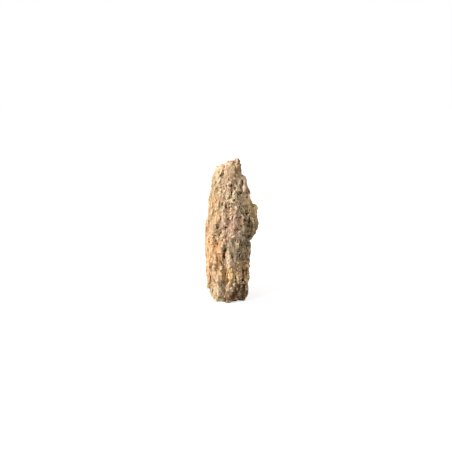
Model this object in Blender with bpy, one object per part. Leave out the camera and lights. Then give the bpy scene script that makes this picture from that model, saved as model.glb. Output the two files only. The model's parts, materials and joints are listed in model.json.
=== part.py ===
"""A bamboo rock: one tall, upright piece of weathered clay stone, solid all through.

Run it with blender --background --python part.py, or from Blender's text editor.
Metres, +Z up. The rock stands on its flat foot at z = 0, its broad face looks along -Y, and +X is on the
right when that face is seen from the front. The stone's grain is upright: it splits into long plates and
splinters, its crown has broken off in steps, and weather has hollowed the softer clay.
"""

import math
import random

import bmesh
import bpy
from mathutils import Vector, noise
from mathutils.bvhtree import BVHTree

MM = 0.001

# The main mass, from the foot up: height, then its reach left, right, front and back. Millimetres.
LEVELS = (
    (-14, 46, 20, 34, 30),
    (-3, 59, 28, 43, 39),
    (10, 62, 32, 46, 43),
    (30, 66, 36, 47, 44),
    (60, 66, 41, 47, 45),
    (85, 66, 40, 46, 46),
    (105, 67, 30, 45, 46),
    (125, 69, 28, 46, 46),
    (150, 67, 41, 47, 45),
    (178, 64, 52, 48, 44),
    (205, 62, 53, 47, 42),
    (232, 60, 48, 45, 40),
    (255, 57, 42, 42, 37),
    (275, 52, 34, 38, 33),
    (295, 45, 22, 32, 29),
    (312, 44, 22, 28, 25),
    (330, 41, 20, 23, 21),
    (352, 34, 18, 18, 16),
)
CREST_SHIFT = 0.16  # how far left of the middle the broad face stands out most, as a part of the width
RING_POINTS = 56
RING_POWER = 2.7  # 2 is an ellipse, and more is boxier

# Plates that stand out of the main mass: where each is seen from above, its lower and upper end, its half
# width and half depth, and how far its head leans to the right and to the back. Millimetres.
PLATES = (
    # The crown, before its top breaks off.
    (-46, -6, 150, 330, 8, 18, 1, 4),
    (-35, -12, 215, 352, 9, 17, 1, 6),
    (-26, -14, 240, 356, 8, 15, 1, 6),
    (-9, -19, 294, 368, 10, 13, 1, 8),
    (-6, 2, 240, 366, 12, 14, 1, 0),
    (11, -12, 306, 372, 8, 12, 0, 6),
    (12, 4, 250, 370, 9, 12, 1, 0),
    (27, -8, 262, 342, 8, 14, 0, 4),
    (24, 8, 250, 336, 9, 12, 0, -3),
    # Below the crown: the knob over the notch, and the lobes stepping down the right side.
    (6, -37, 254, 292, 9, 9, 1, 2),
    (37, -12, 222, 278, 10, 18, -2, 0),
    (39, 4, 150, 266, 10, 18, -2, 0),
    (56, -4, 180, 241, 8, 14, -2, 0),
    (45, 8, 146, 204, 9, 17, 4, 0),
    # The broad face: long flutes, then the pointed rib beside its slot.
    (-50, -16, 24, 262, 11, 20, 2, 0),
    (-36, -33, 58, 236, 11, 12, 2, 0),
    (-18, -40, 142, 252, 10, 9, 1, 0),
    (2, -43, 170, 240, 10, 9, 0, 0),
    (20, -36, 156, 236, 10, 11, 2, 0),
    (-6, -44, 66, 142, 9, 10, 0, 0),
    (-34, -38, -20, 92, 14, 12, 0, 0),
    (16, -40, 4, 98, 9, 11, 2, 0),
    (31, -26, 22, 104, 10, 14, 3, 0),
    (30, -12, -20, 70, 12, 20, 2, 0),
    # The back.
    (-38, 28, -20, 214, 14, 16, 2, 0),
    (-14, 38, 60, 282, 12, 10, 2, 0),
    (10, 36, -20, 190, 13, 12, 1, 0),
    (30, 26, 70, 250, 12, 14, 0, 0),
    (-46, 10, 100, 276, 9, 15, 2, 0),
    (36, 20, 100, 186, 11, 14, 2, 0),
)
PLATE_POINTS = 16
PLATE_POWER = 3.2
MIDDLE_RINGS = 7
END_RINGS = 4
LEDGE = 4  # a plate's lower end is rounded over this height, and so ends in a ledge
TIP = 9  # its upper end is rounded over this height
WANDER_SIZE = 24  # a plate's middle line wanders over this length
WANDER_REACH = 3
NOISE_SEED = 3

# Thin splinters all round the stone.
SPLINTERS = 70
SPLINTER_HEIGHTS = (20, 320)
SPLINTER_HALF_WIDTHS = (3.5, 7)
SPLINTER_LENGTHS = (26, 90)
SPLINTER_LEAN = 3
SPLINTER_SINK = 2  # how far a splinter's middle line lies under the surface
SPLINTER_SEED = 11

# Weathering, in two sizes of plate: width and length of a plate, how far plates step in and out, how deep
# the seams between them are, and the spacing, length and depth of the flutes along them. Millimetres.
WEATHERING = (
    (22, 110, 7.0, 3.0, 13, 80, 5.0),
    (11, 38, 4.0, 2.4, 8, 50, 2.5),
)
WEATHER_PLACE = Vector((5.1, 8.4, 4.6))  # which part of the endless pattern of plates the stone shows
SEAM_WIDTH = 0.2  # as a part of a plate's width
SHINGLE = 0.5  # how much more a plate's lower end stands out than its upper end
FLUTE_FULLNESS = 2.4  # how soon a flute rises from its groove to its full height
FLUTE_MIDDLE = 0.6  # the part of a flute's depth that is cut below the old surface
WARP_SIZE = 40  # the seams wander over this length
WARP_REACH = 5
CROWN_HEIGHTS = (285, 325)  # between these heights the weathering grows less
CROWN_CALM = 0.6

# Where the crown has broken off, each row taking away all that lies above it: across from and to, front and
# back, the height of the break's left and right end, how far its back edge lies lower, and how far it turns
# to the right towards its back. The first seven step down the crown's two sides, and the rest its back and
# its front. Millimetres.
BREAKS = (
    (-90, -51, -60, 60, 262, 280, 0, 4),
    (-90, -40, -60, 60, 316, 324, 4, -6),
    (-90, -18, -60, 60, 334, 348, 2, 5),
    (-90, 5, -60, 60, 352, 355, 2, 0),
    (3, 22, -60, 60, 362, 359, 2, 0),
    (19, 90, -60, 60, 322, 317, 4, -5),
    (33, 90, -60, 60, 284, 270, 0, 8),
    (-90, 90, 16, 60, 318, 330, 24, 0),
    (-90, 90, 7, 60, 340, 348, 8, 0),
    (5, 90, -60, -24, 322, 318, 0, 0),
    (-24, 7, -60, -32, 334, 338, 0, 0),
)
BREAK_HEIGHT = 90
# Cracks that run down the crown's front between its steps: across, the heights of a crack's foot and mouth,
# its half width at the mouth, and where its back is at the foot and at the mouth. Millimetres.
CRACKS = (
    (-31, 316, 370, 3, -16, -8),
    (-18, 296, 370, 4, -14, -6),
    (4, 310, 370, 3.5, -16, -8),
)
CRACK_FOOT = 1  # half the width of a crack's foot
CRACK_FRONT = -60
BLOCK_CUTS = 12
BREAK_GRAINS = ((22, 3.0), (8, 1.3))  # size and reach of the bumps on a broken face

# Hollows in the front face: across, up, half width, half height and depth. Millimetres.
HOLLOWS = (
    (21, 268, 7, 5, 14),
    (-41, 296, 3, 18, 8),
    (20, 302, 3.5, 16, 12),
    (-37, 197, 4, 7, 8),
    (-41, 163, 5, 6, 8),
    (-55, 152, 4, 5, 7),
    (-15, 185, 5, 5, 9),
    (15, 177, 5, 4, 10),
    (-18, 122, 3.5, 14, 12),
    (6, 60, 4, 14, 9),
    (24, 66, 4, 18, 10),
    (40, 148, 7, 14, 10),
)
# Smaller hollows all round the stone.
PITS = 40
PIT_HEIGHTS = (12, 335)
PIT_HALF_WIDTHS = (3, 5.5)
PIT_HALF_HEIGHTS = (6, 15)
PIT_SEED = 5
HOLLOW_UNEVENNESS = 0.25

FAR = 0.2  # metres: outside the stone on every side
MIDDLE_X = -6  # the middle of the stone's width, over most of its height

SKIN = 2.4 * MM  # side of the squares that the joined shapes are skinned with
TRIANGLES = 9600  # what the skin is thinned to before the foot is cut

CLAY_COLOUR = (0.52, 0.36, 0.21, 1)
CLAY_ROUGHNESS = 0.9


def ring_point(turn, left, right, front, back, power):
    """A point of a boxy oval whose reach differs on its four sides. turn runs from 0 to 1."""
    angle = 2 * math.pi * turn
    c, s = math.cos(angle), math.sin(angle)
    x = math.copysign(abs(c) ** (2 / power), c) * (right if c > 0 else left)
    y = math.copysign(abs(s) ** (2 / power), s) * (back if s > 0 else front)
    return Vector((x, y, 0))


def new_object(name, bm):
    mesh = bpy.data.meshes.new(name)
    bm.to_mesh(mesh)
    bm.free()
    obj = bpy.data.objects.new(name, mesh)
    bpy.context.scene.collection.objects.link(obj)
    return obj


def loft(name, rings):
    """A closed mesh through rings that all have the same number of points."""
    bm = bmesh.new()
    rows = [[bm.verts.new(p) for p in ring] for ring in rings]
    for low, high in zip(rows, rows[1:]):
        for i in range(len(low)):
            j = (i + 1) % len(low)
            bm.faces.new((low[i], low[j], high[j], high[i]))
    bm.faces.new(list(reversed(rows[0])))
    bm.faces.new(rows[-1])
    return new_object(name, bm)


def main_mass():
    """The body that everything else grows from. Its long right quarter turns away from the front."""
    rings = []
    for z, left, right, front, back in LEVELS:
        crest = -CREST_SHIFT * (left + right)
        ring = []
        for i in range(RING_POINTS):
            p = ring_point(i / RING_POINTS, left + crest, right - crest, front, back, RING_POWER)
            ring.append(Vector((p.x + crest, p.y, z)) * MM)
        rings.append(ring)
    return loft("main_mass", rings)


def plate_rings(low, high, tip):
    """The heights of a plate's rings and their sizes, which round off over its ledge and its tip."""
    rounding = [(k + 0.5) / END_RINGS * math.pi / 2 for k in range(END_RINGS)]
    rings = [(low + LEDGE * (1 - math.cos(angle)), math.sin(angle)) for angle in rounding]
    for k in range(MIDDLE_RINGS):
        t = k / (MIDDLE_RINGS - 1)
        rings.append((low + LEDGE + (high - tip - low - LEDGE) * t, 1))
    rings += [(high - tip * (1 - math.cos(angle)), math.sin(angle)) for angle in reversed(rounding)]
    return rings


def plate(name, x, y, low, high, half_width, half_depth, lean, lean_back=0, tip=TIP):
    """One upright plate, with a ledge at its lower end and a wandering middle line."""
    rings = []
    for z, size in plate_rings(low, high, tip):
        along = 2 * (z - low) / (high - low) - 1
        middle = Vector((x + lean * along, y + lean_back * along, z))
        wander = noise.noise_vector(Vector((x, y, z)) / WANDER_SIZE) * WANDER_REACH
        middle += Vector((wander.x, wander.y, 0))
        ring = []
        for i in range(PLATE_POINTS):
            p = ring_point(i / PLATE_POINTS, half_width, half_width, half_depth, half_depth, PLATE_POWER)
            ring.append((middle + p * size) * MM)
        rings.append(ring)
    return loft(name, rings)


def apply_modifier(obj, kind, **settings):
    modifier = obj.modifiers.new(kind.title(), kind)
    for key, value in settings.items():
        setattr(modifier, key, value)
    bpy.context.view_layer.objects.active = obj
    bpy.ops.object.modifier_apply(modifier=modifier.name)


def cut_away(obj, cutter):
    apply_modifier(obj, "BOOLEAN", operation="DIFFERENCE", solver="EXACT", object=cutter)
    bpy.data.objects.remove(cutter)


def skinned(name, pieces):
    """One object whose skin wraps all the pieces."""
    bpy.ops.object.select_all(action="DESELECT")
    for piece in pieces:
        piece.select_set(True)
    bpy.context.view_layer.objects.active = pieces[0]
    bpy.ops.object.join()
    obj = bpy.context.view_layer.objects.active
    obj.name = name
    obj.data.name = name
    apply_modifier(obj, "REMESH", mode="VOXEL", voxel_size=SKIN)
    return obj


def surface_tree(obj):
    return BVHTree.FromObject(obj, bpy.context.evaluated_depsgraph_get())


def cast_inward(tree, angle, z):
    """Where a level line towards the stone's middle meets its surface, and the surface's normal there."""
    inward = Vector((math.cos(angle), math.sin(angle), 0))
    place, normal, _, _ = tree.ray_cast(Vector((MIDDLE_X, 0, z)) * MM - inward * FAR, inward)
    return place, normal, inward


def splinters(obj):
    """Thin plates at places all round the stone, each sunk in its surface."""
    tree = surface_tree(obj)
    rng = random.Random(SPLINTER_SEED)
    found = []
    for number in range(SPLINTERS):
        angle = rng.uniform(0, 2 * math.pi)
        z = rng.uniform(*SPLINTER_HEIGHTS)
        half_width = rng.uniform(*SPLINTER_HALF_WIDTHS)
        length = rng.uniform(*SPLINTER_LENGTHS)
        lean = rng.uniform(-SPLINTER_LEAN, SPLINTER_LEAN)
        place, _, inward = cast_inward(tree, angle, z)
        if place is None:
            continue
        middle = place / MM + inward * SPLINTER_SINK
        low, high = z - length / 2, z + length / 2
        found.append(plate(
            f"splinter_{number}", middle.x, middle.y, low, high, half_width, half_width, lean, tip=length / 2))
    return found


def upright(p, width, length):
    """The place p, squeezed so that a pattern of size 1 is width wide and length high."""
    return Vector((p.x / width, p.y / width, p.z / length))


def plate_step(p, width, length, step, seam):
    """How far a point of the surface is moved out by the weathered plate that holds it."""
    q = upright(p, width, length) + WEATHER_PLACE
    distances, cells = noise.voronoi(q)
    height = max(-1, min(1, 2 * noise.cell(cells[0] * width) - 1))
    lower = 2 * SHINGLE * (cells[0].z - q.z)
    edge = min(1, (distances[1] - distances[0]) / SEAM_WIDTH)
    return step * (height + lower) / 2 - seam * (1 - edge) ** 2


def flute(p, spacing, length, depth):
    """How far a point stands out by the rounded flutes, which meet in sharp grooves."""
    rise = min(1, FLUTE_FULLNESS * abs(noise.noise(upright(p, spacing, length))))
    return depth * (rise - FLUTE_MIDDLE)


def weather(obj):
    """Steps the surface in and out, plate by plate, with seams between the plates and flutes along them."""
    crown_low, crown_high = CROWN_HEIGHTS
    for width, length, step, seam, spacing, flute_length, depth in WEATHERING:
        bm = bmesh.new()
        bm.from_mesh(obj.data)
        bm.normal_update()
        moves = []
        for v in bm.verts:
            p = v.co / MM
            crown = max(0, min(1, (p.z - crown_low) / (crown_high - crown_low)))
            p += noise.noise_vector(p / WARP_SIZE) * WARP_REACH
            amount = plate_step(p, width, length, step, seam) + flute(p, spacing, flute_length, depth)
            out = Vector((v.normal.x, v.normal.y, v.normal.z / 2))
            moves.append(out * amount * (1 - CROWN_CALM * crown) * MM)
        for v, move in zip(bm.verts, moves):
            v.co += move
        bm.to_mesh(obj.data)
        bm.free()
        apply_modifier(obj, "REMESH", mode="VOXEL", voxel_size=SKIN)


def rough_block(name, corners):
    """A closed block through eight corners, with rough faces."""
    bm = bmesh.new()
    verts = [bm.verts.new(corner) for corner in corners]
    bmesh.ops.convex_hull(bm, input=verts)
    bmesh.ops.recalc_face_normals(bm, faces=bm.faces[:])
    bmesh.ops.subdivide_edges(bm, edges=bm.edges[:], cuts=BLOCK_CUTS, use_grid_fill=True)
    for v in bm.verts:
        bumps = [noise.noise_vector(v.co / grain) * reach for grain, reach in BREAK_GRAINS]
        v.co = (v.co + sum(bumps, Vector())) * MM
    return new_object(name, bm)


def break_corners(left, right, front, back, z_left, z_right, fall, turn):
    """The corners of the block that a break takes away."""
    for y, along in ((front, 0), (back, 1)):
        for x, z in ((left, z_left), (right, z_right)):
            yield Vector((x + turn * along, y, z - fall * along))
            yield Vector((x + turn * along, y, z + BREAK_HEIGHT))


def crack_corners(x, foot, mouth, half_width, foot_back, mouth_back):
    """The corners of the wedge that a crack opens."""
    for side in (-1, 1):
        for z, reach, back in ((foot, CRACK_FOOT, foot_back), (mouth, half_width, mouth_back)):
            yield Vector((x + side * reach, CRACK_FRONT, z))
            yield Vector((x + side * reach, back, z))


def break_crown(obj):
    """Breaks the crown off in steps and opens the cracks between them."""
    blocks = [break_corners(*row) for row in BREAKS] + [crack_corners(*row) for row in CRACKS]
    for number, corners in enumerate(blocks):
        cut_away(obj, rough_block(f"block_{number}", corners))


def hollow_cutter(name, place, out, half_width, half_height, depth):
    """A long, uneven ball sunk in the surface at a place, where out points away from the stone."""
    bm = bmesh.new()
    bmesh.ops.create_icosphere(bm, subdivisions=3, radius=1)
    side = Vector((-out.y, out.x, 0)).normalized()
    for v in bm.verts:
        across, inward, up = v.co
        bump = 1 + HOLLOW_UNEVENNESS * noise.noise(v.co + place / MM)
        reach = side * across * half_width + out * inward * depth + Vector((0, 0, up * half_height))
        v.co = place + reach * bump * MM
    return new_object(name, bm)


def hollow_cutters(obj):
    """The named hollows of the front face, then the pits all round."""
    tree = surface_tree(obj)
    cutters = []
    for number, (x, z, half_width, half_height, depth) in enumerate(HOLLOWS):
        place, _, _, _ = tree.ray_cast(Vector((x * MM, -FAR, z * MM)), Vector((0, 1, 0)))
        out = Vector((0, -1, 0))
        cutters.append(hollow_cutter(f"hollow_{number}", place, out, half_width, half_height, depth))
    rng = random.Random(PIT_SEED)
    for number in range(PITS):
        angle = rng.uniform(0, 2 * math.pi)
        z = rng.uniform(*PIT_HEIGHTS)
        half_width = rng.uniform(*PIT_HALF_WIDTHS)
        half_height = rng.uniform(*PIT_HALF_HEIGHTS)
        place, normal, inward = cast_inward(tree, angle, z)
        if place is None:
            continue
        out = Vector((normal.x, normal.y, 0)) - inward
        out.normalize()
        cutters.append(hollow_cutter(f"pit_{number}", place, out, half_width, half_height, half_width))
    return cutters


def hollow_out(obj):
    cut_away(obj, skinned("hollows", hollow_cutters(obj)))
    apply_modifier(obj, "REMESH", mode="VOXEL", voxel_size=SKIN)


def drop_crumbs(obj):
    """Keeps the largest body and drops the crumbs that breaks and hollows have cut loose."""
    bm = bmesh.new()
    bm.from_mesh(obj.data)
    unseen = set(bm.verts)
    bodies = []
    while unseen:
        front = [unseen.pop()]
        body = set(front)
        while front:
            v = front.pop()
            near = {edge.other_vert(v) for edge in v.link_edges} & unseen
            unseen -= near
            body |= near
            front.extend(near)
        bodies.append(body)
    bodies.sort(key=len)
    crumbs = [v for body in bodies[:-1] for v in body]
    bmesh.ops.delete(bm, geom=crumbs, context="VERTS")
    bm.to_mesh(obj.data)
    bm.free()


def thin_out(obj):
    """Fewer, larger triangles where the surface allows them."""
    triangles = sum(len(face.vertices) - 2 for face in obj.data.polygons)
    apply_modifier(obj, "DECIMATE", ratio=TRIANGLES / triangles)


def cut_foot(obj):
    """Cuts the stone off flat at z = 0 and centres it over the origin."""
    bm = bmesh.new()
    bm.from_mesh(obj.data)
    geometry = bm.verts[:] + bm.edges[:] + bm.faces[:]
    cut = bmesh.ops.bisect_plane(bm, geom=geometry, plane_co=(0, 0, 0), plane_no=(0, 0, -1), clear_outer=True)
    rim = [item for item in cut["geom_cut"] if isinstance(item, bmesh.types.BMEdge)]
    bmesh.ops.triangle_fill(bm, edges=rim, use_beauty=True)
    bmesh.ops.recalc_face_normals(bm, faces=bm.faces[:])
    xs = [v.co.x for v in bm.verts]
    ys = [v.co.y for v in bm.verts]
    centre = Vector((min(xs) + max(xs), min(ys) + max(ys), 0)) / 2
    bmesh.ops.translate(bm, vec=-centre, verts=bm.verts[:])
    bm.to_mesh(obj.data)
    bm.free()


def clay_stone():
    material = bpy.data.materials.new("clay_stone")
    material.use_nodes = True
    shader = material.node_tree.nodes["Principled BSDF"]
    shader.inputs["Base Color"].default_value = CLAY_COLOUR
    shader.inputs["Roughness"].default_value = CLAY_ROUGHNESS
    shader.inputs["Metallic"].default_value = 0
    return material


def build():
    for obj in list(bpy.data.objects):
        bpy.data.objects.remove(obj)
    noise.seed_set(NOISE_SEED)
    pieces = [main_mass()]
    for number, row in enumerate(PLATES):
        pieces.append(plate(f"plate_{number}", *row))
    rock = skinned("rock", pieces)
    rock = skinned("rock", [rock] + splinters(rock))
    weather(rock)
    break_crown(rock)
    hollow_out(rock)
    drop_crumbs(rock)
    thin_out(rock)
    cut_foot(rock)
    rock.data.materials.append(clay_stone())


build()
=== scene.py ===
# %% [markdown]
# # The look of a weathered bamboo rock
# The object is one tall piece of clay stone. It has stood in wind and water for so long that it looks like
# old bark: a grain that runs upright, flakes that overlap like shingles, small chipped faces that lean every
# way, and dark pits and slots between them. This script takes the plain solid stone as its frame, makes the
# fine surface that the solid leaves out, and gives it the colours of dry clay.

# %% Load the frame
import json
import math
import random

import bmesh
import bpy
from mathutils import Matrix, Vector, noise
from mathutils.bvhtree import BVHTree

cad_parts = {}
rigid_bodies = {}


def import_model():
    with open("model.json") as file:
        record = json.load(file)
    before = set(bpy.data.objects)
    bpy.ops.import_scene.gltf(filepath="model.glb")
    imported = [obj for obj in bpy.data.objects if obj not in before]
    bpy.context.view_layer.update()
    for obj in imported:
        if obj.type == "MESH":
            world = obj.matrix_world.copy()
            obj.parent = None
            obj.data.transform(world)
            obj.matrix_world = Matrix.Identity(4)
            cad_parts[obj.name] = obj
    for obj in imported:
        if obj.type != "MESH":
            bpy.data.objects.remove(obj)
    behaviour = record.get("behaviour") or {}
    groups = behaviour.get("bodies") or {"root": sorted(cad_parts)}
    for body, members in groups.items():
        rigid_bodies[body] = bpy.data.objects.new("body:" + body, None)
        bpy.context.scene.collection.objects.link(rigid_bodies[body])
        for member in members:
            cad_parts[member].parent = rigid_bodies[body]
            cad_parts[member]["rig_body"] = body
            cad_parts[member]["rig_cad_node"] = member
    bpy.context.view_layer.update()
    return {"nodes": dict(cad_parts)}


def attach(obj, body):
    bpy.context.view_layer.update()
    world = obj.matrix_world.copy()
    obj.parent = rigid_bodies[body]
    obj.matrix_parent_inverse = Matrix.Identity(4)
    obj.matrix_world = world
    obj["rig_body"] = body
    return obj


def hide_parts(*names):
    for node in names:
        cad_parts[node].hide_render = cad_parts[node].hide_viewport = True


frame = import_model()
MM = 0.001
NOISE_SEED = 7
noise.seed_set(NOISE_SEED)

# %% [markdown]
# ## A skin fine enough to carve
# The frame's stone is made of large triangles. It must stay as it is, so a copy of it is carved instead.
# The copy's loose triangles are merged first, and a voxel remesh then gives it small, even squares. That
# suits stone better than subdividing, because every part of the surface gets the same amount of detail, and
# pieces that are stuck on later melt into it. The copy is softened and drawn in a little, which makes room
# for the flakes.

# %% Copy the stone and give it a fine skin
COARSE_SKIN = 1.6 * MM
FINE_SKIN = 1.1 * MM
FLAKE_ROOM = 1 * MM
SOFTENING_ROUNDS = 3
SAME_PLACE = 0.001 * MM


def only(obj):
    bpy.ops.object.select_all(action="DESELECT")
    obj.select_set(True)
    bpy.context.view_layer.objects.active = obj


def apply_modifier(obj, kind, **settings):
    only(obj)
    modifier = obj.modifiers.new(kind.title(), kind)
    for key, value in settings.items():
        setattr(modifier, key, value)
    bpy.ops.object.modifier_apply(modifier=modifier.name)


def new_skin(obj, size):
    apply_modifier(obj, "REMESH", mode="VOXEL", voxel_size=size)


only(frame["nodes"]["rock"])
bpy.ops.object.duplicate()
stone = bpy.context.object
stone.name = "weathered_rock"
stone.data.name = "weathered_rock"
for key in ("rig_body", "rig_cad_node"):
    del stone[key]
stone.parent = None
bpy.ops.object.mode_set(mode="EDIT")
bpy.ops.mesh.select_all(action="SELECT")
bpy.ops.mesh.remove_doubles(threshold=SAME_PLACE)
bpy.ops.object.mode_set(mode="OBJECT")
new_skin(stone, COARSE_SKIN)
apply_modifier(stone, "SMOOTH", factor=0.5, iterations=SOFTENING_ROUNDS)
apply_modifier(stone, "DISPLACE", strength=-FLAKE_ROOM, mid_level=0)
print("the copy has", len(stone.data.polygons), "faces")

# %% [markdown]
# ## Flakes
# The clay splits along its grain into thin flakes, thick at the lower end where they have broken off and
# thin at the upper end where they run into the stone. Noise can't make such ledges, because it only moves a
# surface in and out, so a few flakes are modelled one by one. Each starts as a cube, is subdivided, drawn
# together and thinned at the top and the sides, and roughened. Every second one is hollowed behind its edges,
# which opens dark gaps under them. One more flake stays broad at the top, for the places where a large plate
# can be told apart.

# %% Model the flakes
FLAKE_KINDS = 4
FLAKE_CUTS = 3
FLAKE_ROUGHNESS = 0.07
FLAKE_TOP = 0.5
BROAD_TOP = 0.95
HOLLOW_BACK = 0.22


def select_verts(obj, choose):
    """In edit mode: selects the vertices that choose says yes to."""
    bm = bmesh.from_edit_mesh(obj.data)
    bpy.ops.mesh.select_all(action="DESELECT")
    for v in bm.verts:
        v.select = choose(v.co)
    bm.select_flush_mode()
    bmesh.update_edit_mesh(obj.data)


def model_flake(number, top):
    """A flake in a box of side 1, x across, y out of the stone and z up, narrowed to the part top up there."""
    bpy.ops.object.select_all(action="DESELECT")
    bpy.ops.mesh.primitive_cube_add(size=1)
    flake = bpy.context.object
    flake.name = f"flake_{number}"
    bpy.ops.object.mode_set(mode="EDIT")
    bpy.ops.mesh.subdivide(number_cuts=FLAKE_CUTS)
    select_verts(flake, lambda co: co.z > 0.2)
    bpy.ops.transform.resize(value=(0.8, 0.75, 1))
    select_verts(flake, lambda co: co.z > 0.4)
    bpy.ops.transform.resize(value=(top, 0.5, 1))
    select_verts(flake, lambda co: co.z < -0.4)
    bpy.ops.transform.resize(value=(0.72, 0.9, 1))
    select_verts(flake, lambda co: abs(co.x) > 0.35)
    bpy.ops.transform.resize(value=(1, 0.55, 0.9))
    if number % 2:
        select_verts(flake, lambda co: abs(co.x) > 0.15 and co.y < 0)
        bpy.ops.transform.translate(value=(0, HOLLOW_BACK, 0))
    bpy.ops.mesh.select_all(action="SELECT")
    bpy.ops.transform.vertex_random(offset=FLAKE_ROUGHNESS, uniform=1, normal=0, seed=number)
    bpy.ops.object.mode_set(mode="OBJECT")
    return flake


flakes = [model_flake(number, FLAKE_TOP) for number in range(FLAKE_KINDS)]
broad_flake = model_flake(FLAKE_KINDS, BROAD_TOP)
print("a flake has", len(flakes[0].data.polygons), "faces")

# %% [markdown]
# ## Scatter the flakes
# The broad flakes come first. Each row of the list is one plate that can be told apart on the broad face,
# with its middle across and up, its width, its length and its depth. The small flakes are then copied to
# places all round the stone. A level line is shot inwards at a random height, and where it meets the surface
# a flake is laid along it, sunk a little, turned a little, and with its lower end leaning out as shingles do.
# Grooves and steps stay free, and so does much of the left of the broad face, which has weathered smoother.
# The next remesh makes one solid stone of them all.

# %% Lay the flakes on the stone
FLAKE_SEED = 21
FLAKES = 2200
FLAKE_HEIGHTS = (4, 356)
FLAKE_WIDTHS = (6, 12)
FLAKE_LENGTHS = (14, 40)
FLAKE_DEPTHS = (5, 9)
FLAKE_SINK = (0.0, 0.3)
FLAKE_LEAN = (0, 6)
FLAKE_TILT = (-26, 26)
SMOOTH_LEFT = -14
SMOOTH_KEPT = 0.4
OUTSIDE = 200
UNEVEN = 3.5
STEEPEST = 1.25
GROOVE_KEPT = 0.8
GENERAL_ROUNDS = 60
UP = Vector((0, 0, 1))
FORWARD = Vector((0, 1, 0))
FRONT_SINK = 0.2
FRONT_FLAKES = (
    (-4, 326, 26, 50, 8),
    (-21, 334, 13, 28, 8),
    (5, 337, 9, 27, 9),
    (11, 341, 9, 26, 10),
    (21, 302, 11, 44, 18),
    (-40, 303, 8, 26, 7),
    (-8, 250, 12, 38, 16),
    (57, 216, 17, 60, 16),
    (39, 255, 13, 46, 12),
    (-37, 290, 12, 30, 8),
    (-21, 288, 13, 34, 9),
)


def surface_tree(obj):
    return BVHTree.FromObject(obj, bpy.context.evaluated_depsgraph_get())


def level_hit(tree, angle, z):
    """Where a level line towards the stone's middle meets its surface at a height."""
    inward = Vector((math.cos(angle), math.sin(angle), 0))
    place, _, _, _ = tree.ray_cast(Vector((0, 0, z)) * MM - inward * OUTSIDE * MM, inward)
    return place


def flake_place(tree, smooth_tree, angle, z, length):
    """The middle and the up direction of a flake on the surface, or None in a groove or over a step."""
    low, middle, high = (level_hit(tree, angle, z + part * length) for part in (-0.5, 0, 0.5))
    general = level_hit(smooth_tree, angle, z)
    if None in (low, middle, high, general) or (high - low).length > STEEPEST * length * MM:
        return None
    if (middle - (low + high) / 2).length > UNEVEN * MM:
        return None
    if general.xy.length - middle.xy.length > GROOVE_KEPT * MM:
        return None
    return (low + high) / 2, (high - low).normalized()


def flake_matrix(place, up, out, width, depth, length, sink, lean, tilt):
    """Lays a flake of those sizes along the surface at place."""
    side = up.cross(out).normalized()
    out = side.cross(up)
    turned = Matrix.Rotation(math.radians(tilt), 3, out) @ Matrix.Rotation(math.radians(lean), 3, side)
    matrix = Matrix.Identity(4)
    for column, axis in enumerate((side * width, out * depth, up * length)):
        axis = turned @ axis
        for row in range(3):
            matrix[row][column] = axis[row]
    matrix.translation = place - out * depth * sink
    return matrix


def smoothed(obj, rounds):
    """A smooth copy of a mesh, with the same points in the same order."""
    copy = obj.copy()
    copy.data = obj.data.copy()
    bpy.context.scene.collection.objects.link(copy)
    apply_modifier(copy, "SMOOTH", factor=0.5, iterations=rounds)
    return copy


def add_flake(bm, kind, matrix):
    mesh = kind.data.copy()
    mesh.transform(matrix)
    bm.from_mesh(mesh)
    bpy.data.meshes.remove(mesh)


def lay_flakes(stone, flakes, broad_flake):
    tree = surface_tree(stone)
    smooth = smoothed(stone, GENERAL_ROUNDS)
    smooth_tree = surface_tree(smooth)
    bpy.data.objects.remove(smooth)
    rng = random.Random(FLAKE_SEED)
    bm = bmesh.new()
    bm.from_mesh(stone.data)
    for x, z, width, length, depth in FRONT_FLAKES:
        place, _, _, _ = smooth_tree.ray_cast(Vector((x, -OUTSIDE, z)) * MM, FORWARD)
        matrix = flake_matrix(place, UP, -FORWARD, width * MM, depth * MM, length * MM, FRONT_SINK, 0, 0)
        add_flake(bm, broad_flake, matrix)
    laid = len(FRONT_FLAKES)
    for _ in range(FLAKES):
        angle = rng.uniform(0, 2 * math.pi)
        z = rng.uniform(*FLAKE_HEIGHTS)
        width, length, depth = (rng.uniform(*sizes) for sizes in (FLAKE_WIDTHS, FLAKE_LENGTHS, FLAKE_DEPTHS))
        sink, lean, tilt = (rng.uniform(*sizes) for sizes in (FLAKE_SINK, FLAKE_LEAN, FLAKE_TILT))
        kind, keep = rng.choice(flakes), rng.random()
        found = flake_place(tree, smooth_tree, angle, z, length)
        if found is None or z < length / 2:
            continue
        place, up = found
        if place.x < SMOOTH_LEFT * MM and place.y < 0 and keep > SMOOTH_KEPT:
            continue
        out = -Vector((math.cos(angle), math.sin(angle), 0))
        matrix = flake_matrix(place, up, out, width * MM, depth * MM, length * MM, sink, lean, tilt)
        add_flake(bm, kind, matrix)
        laid += 1
    bm.to_mesh(stone.data)
    bm.free()
    return laid


print(lay_flakes(stone, flakes, broad_flake), "flakes laid")
for flake in (*flakes, broad_flake):
    bpy.data.objects.remove(flake)

# %% [markdown]
# ## How the clay breaks
# Dry clay doesn't wear round. It chips: the surface breaks up into many small flat faces that lean every
# way, with sharp steps where one ends and the next begins. That is written as rules which say how far a
# point of the surface moves. The faces are cells of uneven size, stretched upright so that they follow the
# grain, and each cell leans by its own chance. Carving by rule is quick and never repeats like a stamp.

# %% The rules for chipped faces
CHANCE_SPREAD = 17.3
LEDGE_LEAN = 0.5


def upright(p, width, length):
    """The place p, squeezed so that a pattern of size 1 is width wide and length high."""
    return Vector((p.x / width, p.y / width, p.z / length))


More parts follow.
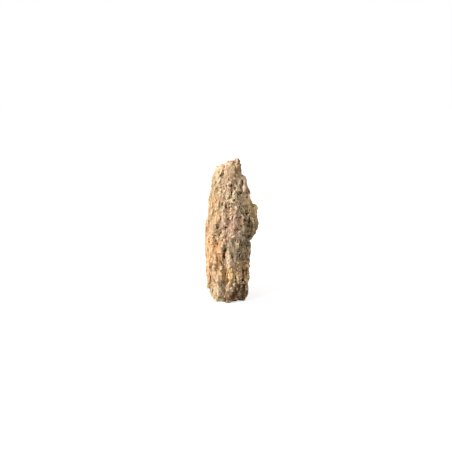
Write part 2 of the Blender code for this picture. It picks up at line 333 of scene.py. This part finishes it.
def facets(p, width, length, tilt, step):
    """Flat faces that lean every way and stand at different heights, with sharp breaks between them."""
    q = upright(p, width, length)
    cells = noise.voronoi(q)[1]
    chance = 2 * noise.cell_vector(cells[0] * CHANCE_SPREAD) - Vector((1, 1, 1))
    return tilt * chance.dot(q - cells[0]) + step * chance.x + LEDGE_LEAN * tilt * (cells[0].z - q.z)


def large_chips(p, rough):
    """Lumps and plates, in millimetres outwards."""
    return (
        4.0 * rough * noise.noise(upright(p, 20, 34))
        + facets(p, 15, 36, 4.6 * rough, 1.1 * rough) + facets(p, 7, 15, 2.8 * rough, 0.8 * rough))


def small_chips(p, rough):
    """Small broken faces and a fine grit, in millimetres outwards."""
    return facets(p, 4, 7, 1.5 * rough, 0.5 * rough) + 0.55 * rough * noise.fractal(p / 3.5, 1, 2, 3)


print("a large chip moves the surface by", round(large_chips(Vector((10, -50, 200)), 1), 1), "mm")

# %% [markdown]
# ## Carve the stone
# The surface is carved twice, large lumps and faces first and small ones after, with a new skin before each
# round so that the mesh stays even. Noise shifts the pattern about, so that no row of faces lines up, and
# moves outwards are held back, because weather only takes clay away. The marks are the pits, slots and ridges
# that can be told apart on the broad face: each row gives the middle across and up, half the width and
# height, and how deep it cuts, with a minus for a ridge. The left of the broad face, the crown and the foot
# have weathered more gently.

# %% Carve the stone
MARKS = (
    (-16, 196, 8, 8, 9),
    (15, 192, 7, 5, 4),
    (-23, 182, 5, 5, 4),
    (-54, 160, 4, 6, 4),
    (-38, 205, 5, 4, 3),
    (-42, 174, 6, 5, 3),
    (-17, 135, 3, 15, 5),
    (-6, 116, 5, 24, -5),
    (23, 281, 13, 5, 7),
    (25, 269, 12, 6, -3),
    (-5, 299, 13, 3, 2.5),
    (8, 281, 9, 14, 4),
    (8, 278, 5.5, 9, -8),
    (45, 215, 3, 34, 6),
    (31, 122, 8, 14, 8),
    (28, 84, 2.2, 18, 4),
    (38, 78, 2.2, 16, 4),
    (18, 88, 2.2, 15, 3),
    (44, 172, 9, 20, 4),
    (15, 148, 4, 10, -5),
    (23, 160, 3.5, 11, 5),
    (30, 166, 4.5, 9, -4),
    (37, 150, 3, 13, 5),
    (9, 168, 3, 8, 4),
)
MARK_RAGGED = 0.8
MARK_GRAIN = 5
MARK_BOWL = 0.7
MARK_FACING = 0.25
WARP_SIZE = 28
WARP_REACH = 8
ROUGH_SIZE = 45
ROUGH_SPREAD = 0.5
ROUGH_LEFT = 0.65
LEFT_FROM = (8, 30)
FRONT_FROM = (0, 20)
FOOT_CALM = 10
FOOT_ROUGH = 0.4
CROWN_HEIGHTS = (290, 335)
CROWN_CALM = 0.25
GUIDE_ROUNDS = 8
OUTWARD = 1.0
OUTWARD_KEPT = 0.3


def share_of(value, low, high):
    """How far value has come from low to high, from 0 to 1."""
    return max(0, min(1, (value - low) / (high - low)))


def mark_at(p, facing, marks):
    """How deep the marks cut in at p, where facing tells how much the surface looks forward."""
    if p.y > 0 or facing < 0:
        return 0
    depth = 0
    ragged = MARK_RAGGED * noise.noise(p / MARK_GRAIN)
    for x, z, width, height, deepest in marks:
        away = ((p.x - x) / width) ** 2 + ((p.z - z) / height) ** 2 + ragged
        if away < 1:
            depth += deepest * (1 - away) ** MARK_BOWL
    return depth * share_of(facing, 0, MARK_FACING)


def roughness_at(p):
    """From about 0.5 on the smooth left of the broad face to about 1.2 where the clay is softest."""
    smooth = share_of(-p.x, *LEFT_FROM) * share_of(-p.y, *FRONT_FROM)
    soft = 1 + ROUGH_SPREAD * noise.noise(p / ROUGH_SIZE)
    crown = 1 - CROWN_CALM * share_of(p.z, *CROWN_HEIGHTS)
    return soft * crown * (1 - (1 - ROUGH_LEFT) * smooth)


def carve(obj, rule, marks):
    """Moves every point of the surface in or out by the rule and the marks, square to a smooth copy."""
    guide = smoothed(obj, GUIDE_ROUNDS)
    for v, smooth in zip(obj.data.vertices, guide.data.vertices):
        p = v.co / MM
        rough = roughness_at(p) * (FOOT_ROUGH + (1 - FOOT_ROUGH) * share_of(p.z, 0, FOOT_CALM))
        warped = p + noise.noise_vector(p / WARP_SIZE) * WARP_REACH
        move = rule(warped, rough) - mark_at(p, -smooth.normal.y, marks)
        v.co += smooth.normal * min(move, OUTWARD + OUTWARD_KEPT * (move - OUTWARD)) * MM
    bpy.data.objects.remove(guide)


for rule, marks in ((large_chips, MARKS), (small_chips, ())):
    new_skin(stone, FINE_SKIN)
    carve(stone, rule, marks)
print("carved, with", len(stone.data.polygons), "faces")

# %% [markdown]
# ## Crumbs off, foot flat, faces few enough
# Decimate takes away the triangles that flat spots don't need, and a block cuts the foot flat at the height
# of the floor. Carving can also leave loose crumbs, and edges where two folds of the surface touch. Those
# edges are closed, and every body but the largest goes.

# %% Clean up the mesh
TRIANGLES = 190000
MEND_ROUNDS = 4


def close_pinches(obj):
    """Closes the edges where two folds touch or a tiny face is missing. Returns how many there were."""
    bm = bmesh.new()
    bm.from_mesh(obj.data)
    closed = 0
    for _ in range(MEND_ROUNDS):
        pinched = [edge for edge in bm.edges if not edge.is_manifold]
        if not pinched:
            break
        closed += len(pinched)
        bmesh.ops.collapse(bm, edges=pinched)
        bmesh.ops.delete(bm, geom=[edge for edge in bm.edges if not edge.link_faces], context="EDGES")
    bm.to_mesh(obj.data)
    bm.free()
    return closed


def drop_crumbs(obj):
    """Keeps the largest body of a mesh."""
    bm = bmesh.new()
    bm.from_mesh(obj.data)
    unseen = set(bm.verts)
    bodies = []
    while unseen:
        front = [unseen.pop()]
        body = set(front)
        while front:
            near = {edge.other_vert(v) for v in (front.pop(),) for edge in v.link_edges} & unseen
            unseen -= near
            body |= near
            front.extend(near)
        bodies.append(body)
    bodies.sort(key=len)
    bmesh.ops.delete(bm, geom=[v for body in bodies[:-1] for v in body], context="VERTS")
    bm.to_mesh(obj.data)
    bm.free()
    return len(bodies) - 1


def cut_foot(obj):
    """Cuts off what lies below the floor with a block."""
    bpy.ops.object.select_all(action="DESELECT")
    bpy.ops.mesh.primitive_cube_add(size=1, location=(0, 0, -0.5))
    block = bpy.context.object
    apply_modifier(obj, "BOOLEAN", operation="DIFFERENCE", solver="EXACT", object=block)
    bpy.data.objects.remove(block)


triangles = 2 * len(stone.data.polygons)
apply_modifier(stone, "DECIMATE", ratio=min(1, TRIANGLES / triangles))
cut_foot(stone)
print(close_pinches(stone), "pinches closed,", drop_crumbs(stone), "crumbs dropped")
stone.data.shade_smooth()
print("the stone has", sum(len(face.vertices) - 2 for face in stone.data.polygons), "triangles")

# %% [markdown]
# ## Measure the hollows and the ridges
# The material paints shade into the hollows and grooves and highlights on the ridges. To paint that, the
# material has to know how deep each point lies. Two measures are stored on the mesh. One shoots short lines
# outwards and counts how many hit the stone again, which is large inside a hollow. The other compares the
# surface with a smoothed copy: what stands above the copy is a ridge, and what lies under it is a groove.

# %% Store two measures on the mesh
HOLLOW_LINES = 14
HOLLOW_REACH = 20
HOLLOW_START = 0.2
WIDEST = 0.94
SMOOTH_ROUNDS = 40
RIDGE_HEIGHT = 1.2


def spread_directions(count):
    """Directions spread evenly over the half ball round +Z, along a spiral."""
    found = []
    for k in range(count):
        up = 1 - (k + 0.5) / count * WIDEST
        flat = math.sqrt(1 - up * up)
        turn = k * math.pi * (3 - math.sqrt(5))
        found.append(Vector((flat * math.cos(turn), flat * math.sin(turn), up)))
    return found


def hollow_values(obj):
    tree = surface_tree(obj)
    lines = spread_directions(HOLLOW_LINES)
    values = []
    for v in obj.data.vertices:
        turn = v.normal.to_track_quat("Z", "Y")
        start = v.co + v.normal * HOLLOW_START * MM
        closed = 0
        for line in lines:
            _, _, _, distance = tree.ray_cast(start, turn @ line, HOLLOW_REACH * MM)
            if distance is not None:
                closed += (1 - distance / (HOLLOW_REACH * MM)) * line.z
        values.append(closed / sum(line.z for line in lines))
    return values


def ridge_values(obj):
    """Above 0 on ridges and below 0 in grooves, in parts of RIDGE_HEIGHT."""
    smooth = smoothed(obj, SMOOTH_ROUNDS)
    values = [
        (v.co - w.co).dot(w.normal) / (RIDGE_HEIGHT * MM)
        for v, w in zip(obj.data.vertices, smooth.data.vertices)]
    bpy.data.objects.remove(smooth)
    return values


def store(obj, name, values):
    attribute = obj.data.attributes.new(name, "FLOAT", "POINT")
    attribute.data.foreach_set("value", values)


hollows = hollow_values(stone)
ridges = ridge_values(stone)
store(stone, "hollow", hollows)
store(stone, "ridge", ridges)
print("hollow", round(sum(hollows) / len(hollows), 3), "on average, ridge",
      round((sum(value ** 2 for value in ridges) / len(ridges)) ** 0.5, 2), "on average")

# %% [markdown]
# ## Helpers for materials
# A material is a tree of nodes, and a few helpers keep its code short. One turns a colour as a painter reads
# it, from 0 to 255, into the light values that Blender works with. One adds a node and fills its sockets. The
# others mix two colours, do a sum, blend softly from one value to another, and start a node group.

# %% Node helpers
def light(red, green, blue):
    """A colour given as 0 to 255 in a picture, as linear light."""
    def linear(value):
        value /= 255
        return value / 12.92 if value <= 0.04045 else ((value + 0.055) / 1.055) ** 2.4
    return (linear(red), linear(green), linear(blue), 1)


def add(tree, kind, sockets=None, **settings):
    """Adds a node, sets its properties, and fills or links its sockets."""
    node = tree.nodes.new("ShaderNode" + kind)
    for key, value in settings.items():
        setattr(node, key, value)
    for key, value in (sockets or {}).items():
        if isinstance(value, bpy.types.NodeSocket):
            tree.links.new(value, node.inputs[key])
        else:
            node.inputs[key].default_value = value
    return node


def mix_colours(tree, factor, first, second, blend="MIX"):
    node = add(tree, "Mix", {0: factor, 6: first, 7: second}, data_type="RGBA", blend_type=blend)
    return node.outputs[2]


def maths(tree, operation, *values):
    return add(tree, "Math", dict(enumerate(values)), operation=operation).outputs[0]


def ramp(tree, value, low, high, to_low=0.0, to_high=1.0):
    sockets = {"Value": value, "From Min": low, "From Max": high, "To Min": to_low, "To Max": to_high}
    return add(tree, "MapRange", sockets, interpolation_type="SMOOTHSTEP").outputs[0]


def new_group(name, inputs, outputs):
    """A node group with named sockets. Returns the group, its input node and its output node."""
    group = bpy.data.node_groups.new(name, "ShaderNodeTree")
    for socket, kind, default in inputs:
        made = group.interface.new_socket(socket, in_out="INPUT", socket_type=kind)
        if default is not None:
            made.default_value = default
    for socket, kind in outputs:
        group.interface.new_socket(socket, in_out="OUTPUT", socket_type=kind)
    return group, group.nodes.new("NodeGroupInput"), group.nodes.new("NodeGroupOutput")


# %% [markdown]
# ## Patches of colour
# The clay was laid down in beds of different colours, so the stone is ochre in one place and peach, mauve
# or olive in another. One node group makes a soft-edged patch anywhere on the stone. A material places it
# once for each bed and once for each patch of painted shade, with its own middle and size, and wandering
# noise keeps the edges from looking round. A few of the beds are painted light or painted shade as well.

# %% The patch group
PATCH_CLOUDS = 42.0
PATCH_WANDER = 4.0
PATCH_EDGE = (1.25, 0.6)


def patch_group():
    group, start, end = new_group("colour_patch", [
        ("Vector", "NodeSocketVector", None), ("Middle", "NodeSocketVector", (0, 0, 0)),
        ("Size", "NodeSocketVector", (1, 1, 1)), ("Wander", "NodeSocketFloat", 0.5),
    ], [("Mask", "NodeSocketFloat")])
    ends = {0: start.outputs["Vector"], 1: start.outputs["Middle"]}
    away = add(group, "VectorMath", ends, operation="SUBTRACT")
    part = add(group, "VectorMath", {0: away.outputs[0], 1: start.outputs["Size"]}, operation="DIVIDE")
    distance = add(group, "VectorMath", {0: part.outputs[0]}, operation="LENGTH")
    cloud = add(group, "TexNoise", {"Vector": start.outputs["Vector"], "Scale": PATCH_CLOUDS, "Detail": 3.0})
    shift = maths(group, "MULTIPLY", maths(group, "SUBTRACT", cloud.outputs[0], 0.5), start.outputs["Wander"])
    edge = maths(group, "ADD", distance.outputs["Value"], maths(group, "MULTIPLY", shift, PATCH_WANDER))
    group.links.new(ramp(group, edge, *PATCH_EDGE), end.inputs["Mask"])
    return group


patch = patch_group()
print("group", patch.name, "made")

# %% [markdown]
# ## Flake tones
# Every flake took up its own amount of iron and dust, so neighbours differ a little in tone. Uneven cells
# that are stretched upright give each flake a random tone and hue. The group also gives a fine grain, for
# colour and for bumps, and two slow clouds that tell where iron and pink clay show. It works in millimetres.

# %% The grain group
FLAKE_SHIFT = 7.0
FLAKE_WANDER = {"Scale": 0.12, "Detail": 2.0}
FIBRE_SQUEEZE = (0.55, 0.55, 0.11)
FIBRE_NOISE = {"Scale": 1.0, "Detail": 4.0, "Roughness": 0.65}
CRUMB_NOISE = {"Scale": 0.9, "Detail": 5.0, "Roughness": 0.7}
CLOUD_NOISE = {"Scale": 0.07, "Detail": 3.0}


def grain_group():
    group, start, end = new_group("clay_grain", [
        ("Vector", "NodeSocketVector", None), ("Flake width", "NodeSocketFloat", 8.0),
        ("Flake length", "NodeSocketFloat", 24.0),
    ], [(name, "NodeSocketFloat") for name in ("Tone", "Hue", "Grain", "Iron", "Pink")])
    in_mm = add(group, "VectorMath", {0: start.outputs["Vector"], "Scale": 1 / MM}, operation="SCALE")
    width = start.outputs["Flake width"]
    size = add(group, "CombineXYZ", {"X": width, "Y": width, "Z": start.outputs["Flake length"]})
    wander = add(group, "TexNoise", {"Vector": in_mm.outputs[0], **FLAKE_WANDER})
    shift = add(group, "VectorMath", {0: wander.outputs["Color"], "Scale": FLAKE_SHIFT}, operation="SCALE")
    moved = add(group, "VectorMath", {0: in_mm.outputs[0], 1: shift.outputs[0]}, operation="ADD")
    cells = add(group, "VectorMath", {0: moved.outputs[0], 1: size.outputs[0]}, operation="DIVIDE")
    flake = add(group, "TexVoronoi", {"Vector": cells.outputs[0], "Scale": 1.0})
    tones = add(group, "SeparateColor", {"Color": flake.outputs["Color"]})
    fibres = add(group, "Mapping", {"Vector": in_mm.outputs[0], "Scale": FIBRE_SQUEEZE}, vector_type="POINT")
    fibre = add(group, "TexNoise", {"Vector": fibres.outputs[0], **FIBRE_NOISE})
    crumb = add(group, "TexNoise", {"Vector": in_mm.outputs[0], **CRUMB_NOISE})
    grain = maths(group, "ADD", maths(group, "MULTIPLY", fibre.outputs[0], 0.5),
                  maths(group, "MULTIPLY", crumb.outputs[0], 0.5))
    cloud = add(group, "TexNoise", {"Vector": in_mm.outputs[0], **CLOUD_NOISE})
    clouds = add(group, "SeparateColor", {"Color": cloud.outputs["Color"]})
    group.links.new(clouds.outputs[0], end.inputs["Iron"])
    group.links.new(clouds.outputs[1], end.inputs["Pink"])
    group.links.new(tones.outputs[0], end.inputs["Tone"])
    group.links.new(tones.outputs[1], end.inputs["Hue"])
    group.links.new(grain, end.inputs["Grain"])
    return group


grain = grain_group()
print("group", grain.name, "made")

# %% [markdown]
# ## The clay material
# The material starts from a middle clay colour and lays the beds over it as patches, though a few beds are
# painted light or painted shade rather than clay. It tints them where iron, moss, pink clay, rust and ash
# show, and varies the tone from flake to flake, in the order in which the real stone came by them. Then it
# paints highlights on the ridges and paints shade into the grooves and hollows, and at last it paints shade
# over the right side, the middle, a slot and the foot. Dry clay has no shine, so its roughness is high. In the
# lists a bed has its colour, middle, size and wander, and a painted shade has a darkness in place of the
# colour. A tint or a relief row grows between the two values after its name, up to the share that follows
# them.

# %% Mix the clay
CLAY = light(189, 172, 140)
BEDS = (
    ("ochre", light(186, 153, 114), (-48, -20, 235), (30, 60, 80), 0.4),
    ("peach", light(210, 164, 116), (-42, -25, 115), (36, 60, 70), 0.4),
    ("cream_top", light(213, 186, 152), (-14, -20, 325), (32, 60, 42), 0.3),
    ("brown_peak", light(153, 129, 96), (12, -10, 345), (13, 40, 26), 0.2),
    # The next two beds are painted light: they brighten the right step and the right lobe, which the key light
    # leaves in shade.
    ("painted_light_step", light(236, 214, 184), (27, -18, 306), (13, 30, 26), 0.2),
    ("painted_light_lobe", light(232, 206, 168), (38, -16, 264), (12, 30, 20), 0.2),
    ("mauve", light(185, 154, 132), (-2, -45, 205), (30, 40, 48), 0.4),
    ("brown_right", light(212, 186, 136), (52, -5, 225), (24, 60, 65), 0.3),
    ("olive", light(197, 165, 121), (25, -35, 80), (28, 40, 38), 0.4),
    ("cream_low", light(218, 176, 112), (-7, -50, 80), (18, 30, 28), 0.3),
    # This bed is a painted highlight along the ridge low on the broad face.
    ("painted_highlight_ridge", light(218, 191, 158), (-6, -50, 116), (8, 30, 24), 0.15),
    # This bed is painted shade: it darkens the foot of the stone.
    ("painted_foot_shade", light(140, 108, 74), (20, -30, 18), (44, 60, 34), 0.5),
)
# Painted shade: each row darkens a stretch of the right side, the middle, a slot or the foot, where shade
# falls.
PAINTED_SHADES = (
    ("shade_right", 0.5, (46, -20, 178), (20, 32, 36), 0.4),
    ("shade_middle", 0.58, (30, -32, 142), (20, 30, 32), 0.4),
    ("shade_slot", 0.72, (0, -50, 148), (16, 30, 22), 0.4),
    ("painted_shade_foot", 0.45, (26, -36, 12), (40, 34, 32), 0.6),
)
# The next three colours are painted light and shade: painted shade for hollows, painted shade for grooves, and
# a painted highlight for ridges.
PAINTED_HOLLOW_SHADE = light(88, 63, 42)
PAINTED_GROOVE_SHADE = light(104, 74, 48)
PAINTED_HIGHLIGHT = light(250, 222, 180)
IRON = light(220, 156, 96)
MOSS = light(168, 146, 96)
PINK = light(188, 144, 126)
RUST = light(206, 130, 76)
ASH = light(160, 140, 118)
TINTS = (
    ("Iron", 0.52, 0.66, 0.32, IRON),
    ("Iron", 0.48, 0.34, 0.7, MOSS),
    ("Pink", 0.53, 0.67, 0.68, PINK),
    ("Hue", 0.70, 0.95, 0.25, RUST),
    ("Hue", 0.25, 0.05, 0.45, ASH),
)
# Painted highlights on the ridges and painted shade in the grooves and hollows, read from the measures stored
# on the mesh.
PAINTED_RELIEF_LIGHT = (
    ("ridge", 0.3, 1.6, 0.75, PAINTED_HIGHLIGHT),
    ("ridge", -0.3, -1.6, 0.75, PAINTED_GROOVE_SHADE),
    ("hollow", 0.24, 0.68, 0.8, PAINTED_HOLLOW_SHADE),
)
TONE_RANGE = (0.8, 1.15)
FINE_FROM = (0.3, 0.7)
FINE_RANGE = (0.84, 1.16)
BUMP_STRENGTH = 0.9
BUMP_HEIGHT = 0.8 * MM
DRY = 0.92
SHEEN = 0.25


def patch_mask(tree, place, name, middle, size, wander):
    mask = add(tree, "Group", node_tree=patch, name=name)
    tree.links.new(place, mask.inputs["Vector"])
    mask.inputs["Middle"].default_value = [c * MM for c in middle]
    mask.inputs["Size"].default_value = [c * MM for c in size]
    mask.inputs["Wander"].default_value = wander
    return mask.outputs["Mask"]


def clay_material():
    material = bpy.data.materials.new("weathered_clay")
    material.use_nodes = True
    tree = material.node_tree
    shader = tree.nodes["Principled BSDF"]
    place = add(tree, "TexCoord").outputs["Object"]
    colour = add(tree, "RGB").outputs[0]
    colour.default_value = CLAY
    for name, bed_colour, middle, size, wander in BEDS:
        colour = mix_colours(tree, patch_mask(tree, place, name, middle, size, wander), colour, bed_colour)
    marks = add(tree, "Group", node_tree=grain)
    tree.links.new(place, marks.inputs["Vector"])
    for output, low, high, most, tint in TINTS:
        colour = mix_colours(tree, ramp(tree, marks.outputs[output], low, high, 0, most), colour, tint)
    tone = ramp(tree, marks.outputs["Tone"], 0.0, 1.0, *TONE_RANGE)
    fine = ramp(tree, marks.outputs["Grain"], *FINE_FROM, *FINE_RANGE)
    shade = maths(tree, "MULTIPLY", tone, fine)
    grey = add(tree, "CombineColor", {0: shade, 1: shade, 2: shade}).outputs[0]
    colour = mix_colours(tree, 1.0, colour, grey, "MULTIPLY")
    # painted highlights on the ridges, painted shade in the grooves and hollows
    for measure, low, high, most, tint in PAINTED_RELIEF_LIGHT:
        value = add(tree, "Attribute", attribute_name=measure).outputs["Fac"]
        colour = mix_colours(tree, ramp(tree, value, low, high, 0, most), colour, tint)
    # painted shade over the right side, the middle, a slot and the foot
    for name, darker, middle, size, wander in PAINTED_SHADES:
        mask = patch_mask(tree, place, name, middle, size, wander)
        colour = mix_colours(tree, mask, colour, (darker, darker, darker, 1), "MULTIPLY")
    tree.links.new(colour, shader.inputs["Base Color"])
    grit = {"Strength": BUMP_STRENGTH, "Distance": BUMP_HEIGHT, "Height": marks.outputs["Grain"]}
    bump = add(tree, "Bump", grit)
    tree.links.new(bump.outputs[0], shader.inputs["Normal"])
    shader.inputs["Roughness"].default_value = DRY
    shader.inputs["Specular IOR Level"].default_value = SHEEN
    return material


stone.data.materials.clear()
stone.data.materials.append(clay_material())
for face in stone.data.polygons:
    face.material_index = 0
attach(stone, "root")
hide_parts("rock")
print("clay mixed from", len(BEDS), "beds")

# %% [markdown]
# ## Floor and light
# A pale studio: a wide white floor, a large soft light high on the left in front, which leaves the right
# of the stone in shade, and a white sky that fills the shadows. The camera alone sees the floor glow and the
# sky at full strength, so the ground turns white as far as the eye reaches, and the stone isn't lit by it.

# %% Set the studio
FLOOR_SIDE = 12
FLOOR_WHITE = 0.93
FLOOR_DULL = 0.8
FLOOR_GLOW = 0.68
KEY_PLACE = (-1.9, -0.95, 1.75)
KEY_SIDE = 1.1
KEY_POWER = 88
FILL_STRENGTH = 0.36
SKY_SEEN = 1.0
AIM = Vector((-0.0135, 0, 0.190))


def floor_material():
    material = bpy.data.materials.new("white_floor")
    material.use_nodes = True
    shader = material.node_tree.nodes["Principled BSDF"]
    shader.inputs["Base Color"].default_value = (FLOOR_WHITE, FLOOR_WHITE, FLOOR_WHITE, 1)
    shader.inputs["Roughness"].default_value = FLOOR_DULL
    shader.inputs["Emission Color"].default_value = (1, 1, 1, 1)
    seen = add(material.node_tree, "LightPath").outputs["Is Camera Ray"]
    glow = maths(material.node_tree, "MULTIPLY", seen, FLOOR_GLOW)
    material.node_tree.links.new(glow, shader.inputs["Emission Strength"])
    return material


bpy.ops.object.select_all(action="DESELECT")
bpy.ops.mesh.primitive_plane_add(size=FLOOR_SIDE)
floor = bpy.context.object
floor.name = "floor"
floor.data.materials.append(floor_material())
key_data = bpy.data.lights.new("key", "AREA")
key_data.size = KEY_SIDE
key_data.energy = KEY_POWER
key = bpy.data.objects.new("key", key_data)
bpy.context.scene.collection.objects.link(key)
key.location = KEY_PLACE
key.rotation_mode = "QUATERNION"
key.rotation_quaternion = (AIM - Vector(KEY_PLACE)).to_track_quat("-Z", "Y")
world = bpy.data.worlds.new("sky")
bpy.context.scene.world = world
world.use_nodes = True
sky = world.node_tree.nodes["Background"]
sky.inputs["Color"].default_value = (1, 1, 1, 1)
seen = add(world.node_tree, "LightPath").outputs["Is Camera Ray"]
levels = {"Value": seen, "To Min": FILL_STRENGTH, "To Max": SKY_SEEN}
strength = add(world.node_tree, "MapRange", levels).outputs[0]
world.node_tree.links.new(strength, sky.inputs["Strength"])
bpy.context.scene.view_settings.view_transform = "Standard"

# %% [markdown]
# ## Camera
# The camera looks at the broad face from the front and a little from above, with a lens of middle length,
# so that the stone stands where it does in the picture.

# %% Place the camera
CAMERA_RISE = 15
CAMERA_AWAY = 1.57
LENS = 50

camera_data = bpy.data.cameras.new("camera")
camera_data.lens = LENS
camera = bpy.data.objects.new("camera", camera_data)
bpy.context.scene.collection.objects.link(camera)
rise = math.radians(CAMERA_RISE)
back = Vector((0, -math.cos(rise), math.sin(rise)))
camera.location = AIM + back * CAMERA_AWAY
camera.rotation_mode = "QUATERNION"
camera.rotation_quaternion = (-back).to_track_quat("-Z", "Y")
bpy.context.scene.camera = camera
